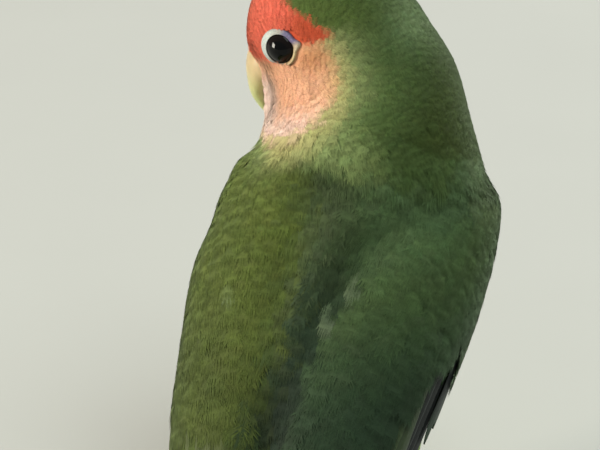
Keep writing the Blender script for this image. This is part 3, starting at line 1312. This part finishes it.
def wing_vanes(way, rng):
    """The flight feathers and large coverts of a folded wing, from the lowest layer to the top."""
    tone = colours()
    vanes = []

    def row(count, roots, tips, widths, heights, blunt, tones, bow=0.0):
        """A row of feathers whose roots and tips run between two places (u, v).

        widths are those of the outer and the inner web. heights are in millimetres over the
        coat's form at root and tip, first for the first feather and then for the last.
        """
        for k in range(count):
            part = k / (count - 1)
            root = [a + (b - a) * part for a, b in zip(*roots)]
            tip = [a + (b - a) * part for a, b in zip(*tips)]
            tip[0] = min(1.0, tip[0] + rng.uniform(-0.012, 0.012))
            height = [(a + (b - a) * part) + rng.uniform(-0.03, 0.03) for a, b in zip(*heights)]
            vanes.append(wing_vane(way, root, tip, widths, height, blunt, tones, rng, bow))

    edge = 0.55 if way < 0 else 0.12
    black = (tone["primary"] * 0.7, tone["primary"] * 0.6 + tone["quill"] * 0.1, tone["primary"])
    row(PRIMARIES, ((0.22, 0.86), (0.32, edge - 0.15)), ((0.76, 0.80), (1.0, 0.0)), (2.2 * MM, 3.2 * MM),
        ((-1.9, -1.25), (-1.7, -0.5)), 0.86, black, bow=0.14)
    quill = (tone["quill"] * 0.7, tone["quill"], tone["quill"] * 1.3)
    row(SECONDARIES, ((0.32, edge), (0.32, -0.78)), ((0.76, edge + 0.07), (0.88, -0.80)),
        (3.3 * MM, 3.6 * MM), ((-1.8, -0.75), (-1.6, -0.15)), 0.78, quill)
    dusk = (tone["primary"], tone["primary"] * 0.6 + tone["quill"] * 0.4, tone["quill"])
    row(PRIMARY_COVERTS, ((0.12, 0.96), (0.18, 0.62)), ((0.40, 1.0), (0.50, 0.62)), (1.8 * MM, 2.3 * MM),
        ((-1.5, -0.5), (-1.5, -0.4)), 0.82, dusk)
    base = tone["shoulder"] if way < 0 else tone["wing"]
    covert = (base * 0.42, base * 0.55, base * 0.78)
    row(GREATER_COVERTS, ((0.36, edge), (0.34, -0.80)), ((0.66, edge + 0.09), (0.74, -0.88)),
        (3.1 * MM, 3.2 * MM), ((-1.6, -0.25), (-1.5, 0.10)), 0.60, covert)
    return vanes


# Tail feathers, the longest one's millimetres, the power of its curve, and both ends of the tail
RECTRICES = 12
TAIL_REACH = 50.0
TAIL_CURVE = 1.25
TAIL_ROOT = np.array((0.0, -0.0300, 0.0190)) + ORIGIN
TAIL_TIP = np.array((0.0, -0.0800, 0.0010)) + ORIGIN


def tail_vanes(rng):
    """Twelve folded tail feathers, the middle pair longest and on top."""
    tone = colours()
    vanes = []
    x = np.linspace(-1, 1, VANE_COLUMNS)
    for rank in range(RECTRICES // 2 - 1, -1, -1):
        reach = 1.0 - 0.032 * rank
        for way in (-1, 1):
            s, webs = vane_outline(rng, 0.80, 2.3 * MM, 2.5 * MM)
            side = np.where(x < 0, webs[0][:, None] * x, webs[1][:, None] * x)
            middle = way * (0.7 + (0.35 + 0.75 * s * reach) * rank) * MM
            y = TAIL_ROOT[1] + (TAIL_TIP[1] - TAIL_ROOT[1]) * s * reach
            z = TAIL_TIP[2] + (TAIL_ROOT[2] - TAIL_TIP[2]) * (1 - s * reach) ** TAIL_CURVE
            lateral = middle[:, None] + side * way
            arch = 0.035 * (lateral / MM) ** 2 * MM
            ridge = 0.14 * MM * np.exp(-(side / (0.4 * MM)) ** 2)
            # The tips lie flat on the floor, one over the other
            laid = ease(0.80, 1.0, s * reach)
            middle_height = z + ((0.9 - 0.16 * rank) * (1 - laid) - 0.7 * laid) * MM
            grids = []
            for upper in (1, 0):
                height = middle_height[:, None] - arch + (2 * upper - 1) * HALF_THICKNESS
                lowest = (0.05 + 0.05 * (RECTRICES // 2 - 1 - rank) + 0.12 * upper) * MM
                grids.append(np.stack([lateral + TAIL_ROOT[0], np.repeat(y[:, None], VANE_COLUMNS, axis=1),
                                       np.maximum(height + upper * ridge, lowest)], axis=2))
            points, faces = vane_solid(*grids)
            if way > 0:
                faces = faces[:, ::-1]
            along = np.repeat(s, VANE_COLUMNS)
            edge = side.ravel() / MM
            colour = vane_tone(along, edge, (tone["tail"] * 0.75, tone["tail"], tone["tail"] * 1.3), rng)
            if rank:
                band = (ease(0.40, 0.48, along) * ease(0.74, 0.68, along) * ease(1.2, 0.1, edge))[:, None]
                colour = colour * (1 - band) + tone["tail_bar"] * band
                bar = (ease(0.72, 0.76, along) * ease(0.90, 0.85, along) * ease(2.0, 1.0, edge))[:, None]
                colour = colour * (1 - bar) + tone["tail_dark"] * bar
            spot = np.stack([edge, along * TAIL_REACH * reach, np.full(len(along), rng.random())], axis=1)
            vanes.append((points, faces, np.vstack([colour, colour]), np.vstack([spot, spot])))
    return vanes


# Head pieces


def revolve_ring(centre, axis, first, rings, columns=72):
    """Points of rings about an axis, and their angles. Radius and height may vary with the angle."""
    second = np.cross(axis, first)
    turn = np.linspace(0, 2 * math.pi, columns, endpoint=False)
    rows = []
    for radius, height in rings:
        spread = (np.cos(turn) * radius)[:, None] * first + (np.sin(turn) * radius)[:, None] * second
        rows.append(centre + spread + np.broadcast_to(height, columns)[:, None] * axis)
    return np.stack(rows), turn


def form_heights(centre, axis, first, radius):
    """How far out along an axis the bird's form lies, over each place of a ring round the axis."""
    places = revolve_ring(centre, axis, first, [(radius, 12.0 * MM)], columns=len(radius))[0][0]
    found = [envelope().tree.ray_cast(place, -axis)[0] for place in places]
    return (np.array(found) - centre) @ axis


EYE_RADIUS = 3.5 * MM
EYE_ROWS = 40
# How far the eyes look forward, the half angle left to a cap, and the cornea's rise and half angle
EYE_LEAN = 0.10
POLE = 0.02
CORNEA_RISE = 0.28 * MM
CORNEA_SPREAD = 0.55
LID_OPENING = 2.80 * MM
RING_COLUMNS = 120
# The eye ring's section, in shares of its breadth out from the lids' opening and in shares of
# its thickness up from the eyeball
RING_SECTION = (
    (0.00, -0.28), (-0.02, 0.10), (0.10, 0.30), (0.32, 0.40), (0.55, 0.36), (0.80, 0.14),
    (1.00, -0.20), (1.12, -0.75), (0.60, -1.00), (0.15, -0.80),
)
RING_THICKNESS = 0.62 * MM
# Gap between the ring and the eyeball, and the radius to which the ring follows the ball
RING_GAP = 0.10 * MM
RING_SEAT = 3.25 * MM
# Least height over the plumage in millimetres at some of those shares, for where it is full
RING_PROUD = {0.10: -0.38, 0.32: -0.17, 0.55: -0.08, 0.80: -0.14, 1.00: -0.40}


def eyeball(side, way):
    """A smooth eyeball with a slightly raised cornea."""
    axis = unit(HEAD_RIGHT * way + EYE_LEAN * HEAD_AHEAD)
    first = unit(np.cross(axis, HEAD_UP))
    angles = np.linspace(POLE, math.pi - POLE, EYE_ROWS)
    bulge = CORNEA_RISE * np.exp(-(angles / CORNEA_SPREAD) ** 2)
    rings = zip(EYE_RADIUS * np.sin(angles), (EYE_RADIUS + bulge) * np.cos(angles))
    rows, turn = revolve_ring(EYES[side] + EYE_SHIFT, axis, first, rings)
    made = tube_piece("eyeball_" + side, rows, material("wet cornea", wet_eye), "eyeball",
                      iris=np.repeat(angles, len(turn)))
    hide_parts("eye_" + side)


# Colours round the eye ring, by degrees from the front and upward
RING_TONES = {
    -180: "#a8947e", -150: "#b9a67c", -110: "#a8906a", -75: "#84705c", -40: "#8a8880", 0: RING_GREY,
    60: "#a9b0aa", 105: "#a09a90", 125: "#736b86", 165: "#6d6182", 180: "#a8947e",
}


def eye_ring(side, way):
    """The bare ring of granular skin round the eye, which is also its lids."""
    axis = unit(HEAD_RIGHT * way + EYE_LEAN * HEAD_AHEAD)
    first = unit(np.cross(axis, HEAD_UP))
    if first @ HEAD_AHEAD < 0:
        first = -first
    turn = np.linspace(0, 2 * math.pi, RING_COLUMNS, endpoint=False)
    # Angle from the front of the eye, upward on both sides
    round_eye = np.degrees(turn) * np.sign(np.cross(axis, first) @ HEAD_UP)
    round_eye = (round_eye + 180.0) % 360.0 - 180.0
    from_rear = 180.0 - np.abs(round_eye)
    opening = LID_OPENING * (1 - 0.03 * np.cos(2 * turn) + 0.05 * np.exp(-(from_rear / 16.0) ** 2))
    # Broad in front, with a pointed corner at the rear
    broad = 0.70 + 0.65 * np.clip(np.cos(np.radians(round_eye - 15.0)), 0, 1) ** 1.5
    broad = (broad + 0.95 * np.exp(-(from_rear / 13.0) ** 2)) * MM
    grains = 0.045 * MM * np.sin(turn * 52) * (0.5 + 0.5 * np.sin(turn * 7))
    centre = EYES[side] + EYE_SHIFT
    rings = []
    for out, high in RING_SECTION:
        radius = opening + out * broad
        ball = np.sqrt((EYE_RADIUS + RING_GAP) ** 2 - np.minimum(radius, RING_SEAT) ** 2)
        height = ball + high * RING_THICKNESS
        if out in RING_PROUD:
            height = np.maximum(height, form_heights(centre, axis, first, radius) + RING_PROUD[out] * MM)
        rings.append((radius, height + (grains if high > 0.12 else 0.0)))
    rows, _ = revolve_ring(centre, axis, first, rings, columns=RING_COLUMNS)
    # The last ring joins the first
    faces = grid_faces(len(rings) + 1, RING_COLUMNS, closed=True) % (len(rings) * RING_COLUMNS)
    tones = np.array([linear(text) for text in RING_TONES.values()]).T
    tone = np.stack([np.interp(round_eye, list(RING_TONES), part) for part in tones], axis=1)
    tone = tone * (colours()["ring"] / linear(RING_GREY))
    # The lids' edge is dark
    shade = np.array([0.45, 0.7] + [1.0] * (len(rings) - 2))[:, None, None]
    closed_piece("eye_ring_" + side, rows.reshape(-1, 3), faces.tolist(),
                 material("granular eye ring", eye_ring_skin), "head_feathers",
                 plumage=with_alpha((tone * shade).reshape(-1, 3)))


# The middle of the upper bill's arc, ahead and up in the head's frame, and the arc's radius and ends
BILL_CENTRE = (10.2 * MM, -4.4 * MM)
CULMEN = 10.0 * MM
BILL_TURN = (math.radians(74), math.radians(-48))
# Width and depth at the root, and both at the tip
BILL_ROOT = (12.4 * MM, 9.2 * MM)
BILL_TIP = 0.7 * MM
# Millimetres along the outer curve of the upper bill, and along the lower bill
CULMEN_LENGTH = 21.0
LOWER_LENGTH = 12.0


def bill_tones(u, under):
    """Bill colours: cream root, tan sides and a greenish tip and cutting edge."""
    tone = colours()
    part = ease(0.20, 0.75, u)[:, None]
    colour = tone["bill"] * (1 - part) + tone["bill_edge"] * part
    edge = ease(0.2, 1.0, under)[:, None] * 0.5
    return with_alpha(colour * (1 - edge) + tone["cutting_edge"] * edge)


def upper_bill():
    """The hooked upper bill, with a ridge on top and a notch in its cutting edge.

    u runs from the root to the tip, and turn goes round each section from its top.
    """
    rows, columns = 44, 40
    u = np.linspace(0, 1, rows)
    turn = np.linspace(0, 2 * math.pi, columns, endpoint=False)
    angle = (BILL_TURN[0] + (BILL_TURN[1] - BILL_TURN[0]) * u)[:, None]
    width = BILL_TIP + (BILL_ROOT[0] - BILL_TIP) * (1 - u**1.6)
    depth = BILL_TIP + (BILL_ROOT[1] - BILL_TIP) * (1 - u**1.5)
    depth = depth * (1 - 0.10 * np.exp(-((u - 0.62) / 0.05) ** 2))
    top = np.cos(turn)
    swell = 0.12 * ease(0.5, 0.12, u)[:, None]
    reach = CULMEN * (1 + swell * np.clip(top, 0, 1)) - depth[:, None] / 2 * (1 - top)
    ridge = 1 - 0.30 * np.maximum(0.0, top) ** 2.2
    out = width[:, None] / 2 * np.sign(np.sin(turn)) * np.abs(np.sin(turn)) ** 0.86 * ridge
    places = head_place(BILL_CENTRE[0] + reach * np.cos(angle), out, BILL_CENTRE[1] + reach * np.sin(angle))
    along = np.repeat(u * CULMEN_LENGTH, columns)
    under = np.tile(np.clip(-top, 0, 1), rows)
    made = tube_piece("upper_bill", places, material("bill horn", bill_horn), "bill_horn", along=along,
                      plumage=bill_tones(np.repeat(u, columns), under))
    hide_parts("bill_upper")


# Both ends of the lower bill, ahead and up, and its widths and depths there
LOWER_FROM = (8.5 * MM, -6.8 * MM)
LOWER_TO = (16.6 * MM, -7.4 * MM)
LOWER_WIDTHS = (10.0 * MM, 5.0 * MM)
LOWER_DEPTHS = (8.4 * MM, 5.0 * MM)


def lower_bill():
    """The scoop of the lower bill behind the hook."""
    rows, columns = 26, 36
    u = np.linspace(0, 1, rows)
    turn = np.linspace(0, 2 * math.pi, columns, endpoint=False)
    round_end = np.sqrt(1 - np.clip((u - 0.72) / 0.29, 0, 1) ** 2)
    width = (LOWER_WIDTHS[0] + (LOWER_WIDTHS[1] - LOWER_WIDTHS[0]) * u**2) * round_end
    depth = (LOWER_DEPTHS[0] + (LOWER_DEPTHS[1] - LOWER_DEPTHS[0]) * u) * round_end
    lift = depth[:, None] / 2 * np.cos(turn)
    ahead = (LOWER_FROM[0] + (LOWER_TO[0] - LOWER_FROM[0]) * u)[:, None] - 0.25 * lift
    up = (LOWER_FROM[1] + (LOWER_TO[1] - LOWER_FROM[1]) * u)[:, None] + lift
    places = head_place(ahead, width[:, None] / 2 * np.sin(turn), up)
    under = np.tile(np.clip(np.cos(turn), 0, 1), rows)
    tone = bill_tones(0.2 + 0.3 * np.repeat(u, columns), under) * (1.5, 1.5, 1.5, 1.0)
    made = tube_piece("lower_bill", places, material("bill horn", bill_horn), "bill_horn",
                      along=np.repeat(u * LOWER_LENGTH, columns), plumage=tone)
    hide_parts("bill_lower")


# Radius and height in millimetres, from the hole to the outside
NOSTRIL_SECTION = ((0.12, -0.06), (0.24, -0.02), (0.38, 0.09), (0.58, 0.06), (0.88, -0.20), (1.00, -0.60))


def nostrils():
    """Two small nostrils in swollen pale skin at the top of the bill."""
    tone = colours()
    for side, way in SIDES.items():
        spot, normal, _ = envelope().nearest([head_place(17.2 * MM, way * 2.1 * MM, 4.3 * MM)])
        first = unit(np.cross(normal[0], HEAD_UP))
        rings = np.array(NOSTRIL_SECTION) * MM
        rows, _ = revolve_ring(spot[0], normal[0], first, rings, columns=32)
        skin = np.tile(tone["nostril"], rows.shape[:2] + (1,))
        skin[:2] = tone["nostril_hole"]
        tube_piece("nostril_" + side, rows, material("granular eye ring", eye_ring_skin), "bill_horn",
                   plumage=with_alpha(skin.reshape(-1, 3)))


# Skin and feet


def skin_depths(numbers, settings):
    """How deep the skin lies under its grown form, by the number of the node at each point."""
    node = np.array(PLUMED + BARE + FEET)[numbers]
    depth = np.full(len(node), settings.body_depth)
    depth[node == "neck"] = settings.neck_depth
    depth[node == "head"] = settings.head_depth
    depth[np.isin(node, BARE)] = settings.head_depth + 0.5 * MM
    depth[np.char.startswith(node, "thigh")] = 1.3 * MM
    depth[np.char.startswith(node, "wing")] = 1.6 * MM
    depth[np.char.startswith(node, "foot")] = 0.0
    return depth + ENVELOPE_GROW * ~np.char.startswith(node, "foot")


def build_skin():
    """One skin over head, neck, trunk, legs, feet and the flesh of wings and tail."""
    settings = bpy.context.scene.lovebird_coat
    shapes = [node_shape(node, ENVELOPE_GROW, REAR_CUT.get(node)) for node in PLUMED + BARE]
    shapes += [node_shape(node, FOOT_GROW) for node in FEET]
    points, quads = fused(shapes, SKIN_VOXEL)
    node = nearest_node(points, PLUMED + BARE + FEET)
    foot = (node >= len(PLUMED + BARE))[:, None]
    points = relaxed(points, quads, 6, np.where(foot, 0.12, 0.5))
    depth = skin_depths(node, settings)
    depth = relaxed(depth[:, None], quads, 14, np.where(foot, 0.0, 0.5))[:, 0]
    points = points - normals_of(points, quads) * depth[:, None]
    points = relaxed(points, quads, 4, np.where(foot, 0.05, 0.5))
    points[:, 2] = np.maximum(points[:, 2], 0.0)
    rng = np.random.default_rng(settings.seed + 5)
    _, _, near = envelope().nearest(points)
    tone = markings(points, near, rng)
    tone[foot[:, 0]] = colours()["foot"] * rng.normal(1.0, 0.04, (int(foot.sum()), 1))
    picks = foot[quads[:, 0], 0].astype(int)
    made = mesh_object("skin", points, quads,
                       [material("downy skin", downy_skin), material("scaly foot skin", scaly_skin)],
                       "foot_skin", picks=picks, uv=unwrap(points), plumage=with_alpha(tone))
    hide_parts("head", "neck", "trunk", "thigh_left", "thigh_right", "foot_left", "foot_right")


def build_claws():
    """The claws, smoothed from the solids."""
    for side in SIDES:
        for number in range(1, 5):
            node = "claw_%s_%d" % (side, number)
            points, faces = node_shape(node, 0.05 * MM)
            mesh = bpy.data.meshes.new("horn_" + node)
            mesh.from_pydata(points.tolist(), [], faces)
            grid = bmesh.new()
            grid.from_mesh(mesh)
            bmesh.ops.dissolve_limit(grid, angle_limit=math.radians(4), verts=grid.verts, edges=grid.edges)
            grid.to_mesh(mesh)
            grid.free()
            mesh.shade_smooth()
            mesh.materials.append(material("claw horn", claw_horn))
            made = place_piece("horn_" + node, mesh)
            smooth = made.modifiers.new("smooth", "SUBSURF")
            smooth.levels = smooth.render_levels = 2
            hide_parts(node)


# Operators


class BuildSkin(bpy.types.Operator):
    """Lay one skin inside the solids, with scaly feet"""

    bl_idname = "lovebird.build_skin"
    bl_label = "Skin and feet"

    def execute(self, context):
        """Build the skin."""
        build_skin()
        return {"FINISHED"}


class BuildHeadPieces(bpy.types.Operator):
    """Build eyes, eye rings, bill and nostrils"""

    bl_idname = "lovebird.build_head_pieces"
    bl_label = "Eyes and bill"

    def execute(self, context):
        """Build the bare pieces of the head."""
        for side, way in SIDES.items():
            eyeball(side, way)
            eye_ring(side, way)
        upper_bill()
        lower_bill()
        nostrils()
        return {"FINISHED"}


class BuildClaws(bpy.types.Operator):
    """Build the claws"""

    bl_idname = "lovebird.build_claws"
    bl_label = "Claws"

    def execute(self, context):
        """Build the claws."""
        build_claws()
        return {"FINISHED"}


class LayHeadFeathers(bpy.types.Operator):
    """Lay the small feathers of face and crown, and those of the neck"""

    bl_idname = "lovebird.lay_head_feathers"
    bl_label = "Head and neck feathers"

    def execute(self, context):
        """Lay the feathers."""
        roots, _, _, nodes, _ = coat()
        head = (nodes == PLUMED.index("head")) | (nodes >= len(PLUMED))
        _, _, up = head_frame(roots)
        lay_coat("face_feathers", head & (up < 0), 11, 3, "head_feathers", wide=0.74, rise=0.05 * MM)
        lay_coat("crown_feathers", head & (up >= 0), 11, 3, "head_feathers", wide=0.74, rise=0.05 * MM)
        lay_coat("neck_feathers", nodes == PLUMED.index("neck"), 17, 4, "neck_feathers", wide=0.62,
                 rise=0.10 * MM, ruff=0.9 * MM)
        return {"FINISHED"}


class LayBodyFeathers(bpy.types.Operator):
    """Lay the feathers of back, breast, belly, thighs and wing coverts"""

    bl_idname = "lovebird.lay_body_feathers"
    bl_label = "Body feathers"

    def execute(self, context):
        """Lay the feathers."""
        roots, _, _, nodes, _ = coat()
        trunk = nodes == PLUMED.index("trunk")
        back = roots[:, 1] < (14 + 0.28 * roots[:, 2] / MM) * MM
        lay_coat("back_feathers", trunk & back, 20, 5, "body_feathers", wide=0.62)
        low = roots[:, 2] < 48 * MM
        lay_coat("breast_feathers", trunk & ~back & ~low, 18, 5, "body_feathers", wide=0.62)
        lay_coat("belly_feathers", trunk & ~back & low, 18, 5, "body_feathers", wide=0.62)
        for side in SIDES:
            lay_coat("thigh_feathers_" + side, nodes == PLUMED.index("thigh_" + side), 10, 4,
                     "thigh_feathers", wide=0.55)
            lay_coat("small_coverts_" + side, nodes == PLUMED.index("wing_" + side), 19, 5,
                     "wing_feathers", wide=0.66, rise=0.10 * MM)
        lay_coat("tail_coverts", nodes == PLUMED.index("tail"), 14, 5, "tail_feathers", wide=0.6)
        return {"FINISHED"}


class LayWings(bpy.types.Operator):
    """Lay the flight feathers and large coverts of both wings"""

    bl_idname = "lovebird.lay_wings"
    bl_label = "Wings"

    def execute(self, context):
        """Lay the vanes."""
        seed = context.scene.lovebird_coat.seed
        for side, way in SIDES.items():
            rng = np.random.default_rng([seed, way + 2])
            made = join_vanes("wing_vanes_" + side, wing_vanes(way, rng), stiff_feather, "wing_feathers")
            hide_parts("wing_" + side)
        return {"FINISHED"}


class LayTail(bpy.types.Operator):
    """Lay the tail feathers"""

    bl_idname = "lovebird.lay_tail"
    bl_label = "Tail"

    def execute(self, context):
        """Lay the vanes."""
        rng = np.random.default_rng([context.scene.lovebird_coat.seed, 40])
        made = join_vanes("tail_vanes", tail_vanes(rng), stiff_feather, "tail_feathers")
        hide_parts("tail")
        return {"FINISHED"}


def add_light(name, place, aim, size, power, tint):
    """A square soft light that looks at a place."""
    lamp = bpy.data.lights.new(name, "AREA")
    lamp.size = size
    lamp.energy = power
    lamp.color = tint
    made = bpy.data.objects.new(name, lamp)
    made.location = place
    made.rotation_euler = (Vector(place) - Vector(aim)).to_track_quat("Z", "Y").to_euler()
    bpy.context.scene.collection.objects.link(made)


# Name, place from the camera's aim, size, share of the key light's power, and tint
LIGHTS = (
    ("key", (-1.83, -1.12, 0.50), 0.80, 1.00, (1.0, 0.95, 0.82)),
    ("rim", (0.70, 1.85, 0.95), 1.00, 0.40, (0.96, 1.0, 0.95)),
    ("top", (1.0, -0.30, 2.0), 1.50, 0.45, (0.85, 1.0, 0.97)),
)
# Half the side of the floor in metres, and the colour and strength of the sky
FLOOR_REACH = 6
SKY = (0.86, 0.89, 0.92, 1.0)
SKY_STRENGTH = 0.35


class SetStage(bpy.types.Operator):
    """Set the floor, the lights and the camera"""

    bl_idname = "lovebird.set_stage"
    bl_label = "Stage"

    def execute(self, context):
        """Build the stage."""
        stage = context.scene.lovebird_stage
        floor = bpy.data.meshes.new("floor")
        corners = [(x * FLOOR_REACH, y * FLOOR_REACH, 0) for x, y in ((-1, -1), (1, -1), (1, 1), (-1, 1))]
        floor.from_pydata(corners, [], [(0, 1, 2, 3)])
        floor.materials.append(material("pale floor", pale_floor))
        made = bpy.data.objects.new("floor", floor)
        context.scene.collection.objects.link(made)
        aim = Vector(CAMERA_AIM)
        turn, rise = stage.azimuth, stage.elevation
        way = Vector((math.sin(turn) * math.cos(rise), -math.cos(turn) * math.cos(rise), math.sin(rise)))
        lens = bpy.data.cameras.new("camera")
        lens.sensor_fit = "HORIZONTAL"
        lens.angle = stage.view_angle
        lens.clip_start = 0.01
        camera = bpy.data.objects.new("camera", lens)
        camera.location = aim + way * stage.distance
        camera.rotation_euler = way.to_track_quat("Z", "Y").to_euler()
        context.scene.collection.objects.link(camera)
        context.scene.camera = camera
        context.scene.view_settings.view_transform = "Standard"
        for name, place, size, share, tint in LIGHTS:
            add_light(name, aim + Vector(place), aim, size, stage.key_power * share, tint)
        world = bpy.data.worlds.new("studio")
        world.use_nodes = True
        sky = world.node_tree.nodes["Background"]
        sky.inputs["Color"].default_value = SKY
        sky.inputs["Strength"].default_value = SKY_STRENGTH
        context.scene.world = world
        return {"FINISHED"}


class LovebirdPanel(bpy.types.Panel):
    """Settings and steps in the sidebar"""

    bl_idname = "VIEW3D_PT_lovebird"
    bl_label = "Lovebird"
    bl_space_type = "VIEW_3D"
    bl_region_type = "UI"
    bl_category = "Lovebird"

    def draw(self, context):
        """List the settings and the operators."""
        for name in GROUPS:
            group = getattr(context.scene, name)
            for key in type(group).__annotations__:
                self.layout.prop(group, key)
        for step in STEPS:
            self.layout.operator(step.bl_idname)


STEPS = (
    BuildSkin, BuildHeadPieces, BuildClaws, LayHeadFeathers, LayBodyFeathers, LayWings, LayTail, SetStage,
)
GROUPS = {
    "lovebird_colours": LovebirdColours,
    "lovebird_coat": LovebirdCoat,
    "lovebird_stage": LovebirdStage,
}


def register():
    """Register the settings, the operators and the panel."""
    for group in GROUPS.values():
        bpy.utils.register_class(group)
    for name, group in GROUPS.items():
        setattr(bpy.types.Scene, name, PointerProperty(type=group))
    for step in STEPS + (LovebirdPanel,):
        bpy.utils.register_class(step)


def unregister():
    """Undo register."""
    for step in reversed(STEPS + (LovebirdPanel,)):
        bpy.utils.unregister_class(step)
    for name, group in GROUPS.items():
        delattr(bpy.types.Scene, name)
        bpy.utils.unregister_class(group)


def main():
    """Run every step."""
    register()
    for step in STEPS:
        group, name = step.bl_idname.split(".")
        getattr(getattr(bpy.ops, group), name)()


if __name__ == "__main__":
    main()
